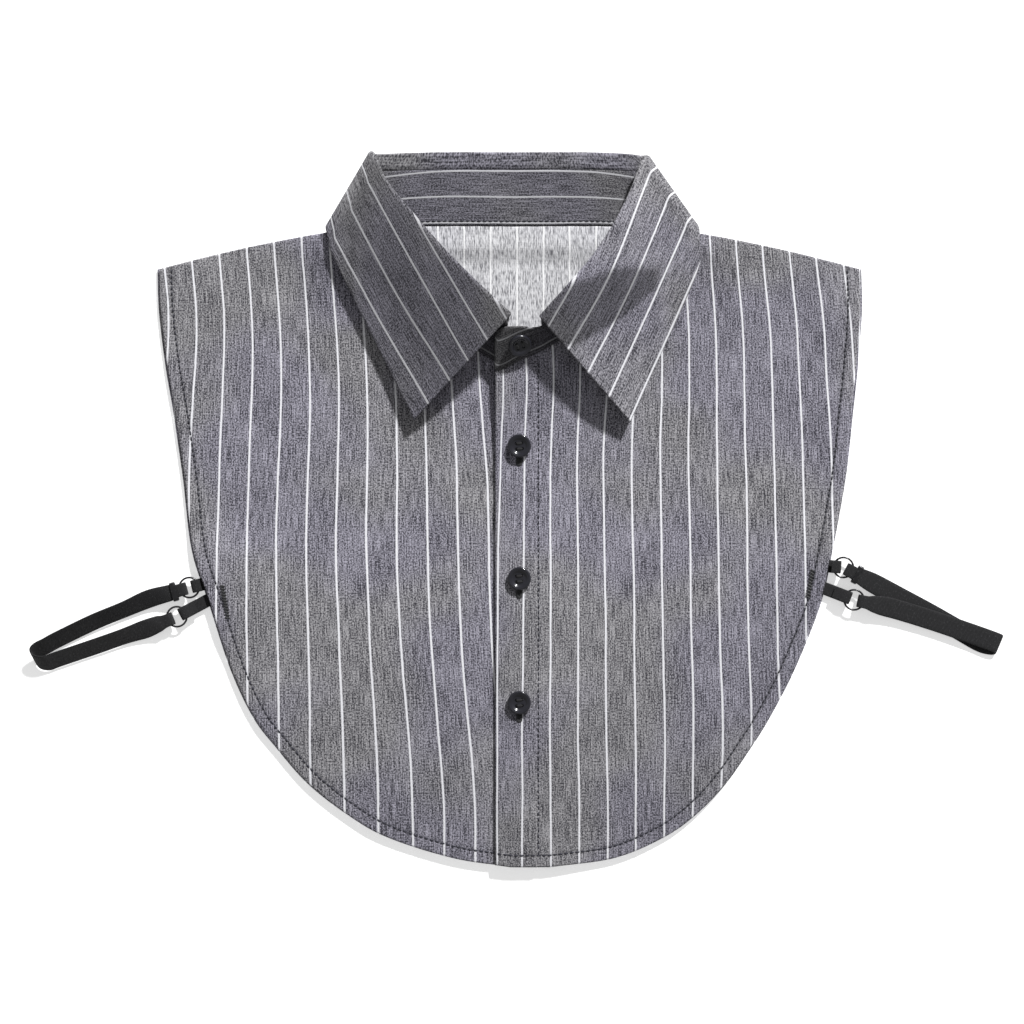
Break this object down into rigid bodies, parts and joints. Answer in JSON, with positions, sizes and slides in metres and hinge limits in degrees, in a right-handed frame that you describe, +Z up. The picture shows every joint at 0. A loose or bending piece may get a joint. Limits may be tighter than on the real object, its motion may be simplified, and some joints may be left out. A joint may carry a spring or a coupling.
{
  "type": "detachable shirt collar",
  "caption": "Striped shirt collar on a short buttoned bib, worn under a jumper and held by an elastic strap at each side; laid flat.",
  "frame": {"origin": "centre of the bounding box in plan, at the level of the table it lies on", "axes": "+X to the right of the picture, along the straps; +Y from the hem to the collar; +Z up, out of the table, towards the buttoned front"},
  "size_m": [0.4879, 0.3584, 0.0209],
  "materials": {
    "back_panel": "charcoal chambray with thin white woven stripes",
    "front_under": "charcoal chambray with thin white woven stripes",
    "front_over": "charcoal chambray with thin white woven stripes",
    "collar_stand": "charcoal chambray with thin white woven stripes",
    "collar_leaf": "charcoal chambray with thin white woven stripes",
    "placket_button_1": "glossy black, dished",
    "placket_button_2": "glossy black, dished",
    "placket_button_3": "glossy black, dished",
    "stand_button": "glossy black, dished",
    "left_front_tab": "black woven elastic, finely ribbed",
    "left_back_tab": "black woven elastic, finely ribbed",
    "right_front_tab": "black woven elastic, finely ribbed",
    "right_back_tab": "black woven elastic, finely ribbed",
    "left_strap": "black woven elastic, finely ribbed",
    "right_strap": "black woven elastic, finely ribbed",
    "left_front_ring": "black coated, satin",
    "left_back_ring": "black coated, satin",
    "right_front_ring": "black coated, satin",
    "right_back_ring": "black coated, satin",
    "left_slider": "black coated, satin",
    "right_slider": "black coated, satin"
  },
  "bodies": {
    "root": {"back_panel": "back_panel", "front_under": "front_under", "front_over": "front_over", "collar_stand": "collar_stand", "collar_leaf": "collar_leaf", "placket_button_1": "placket_button_1", "placket_button_2": "placket_button_2", "placket_button_3": "placket_button_3", "stand_button": "stand_button", "left_front_tab": "left_front_tab", "left_back_tab": "left_back_tab", "right_front_tab": "right_front_tab", "right_back_tab": "right_back_tab", "left_front_ring": "left_front_ring", "left_back_ring": "left_back_ring", "right_front_ring": "right_front_ring", "right_back_ring": "right_back_ring", "left_slider": "left_slider", "right_slider": "right_slider", "left_strap": "left_strap", "right_strap": "right_strap"}
  },
  "joints": []
}
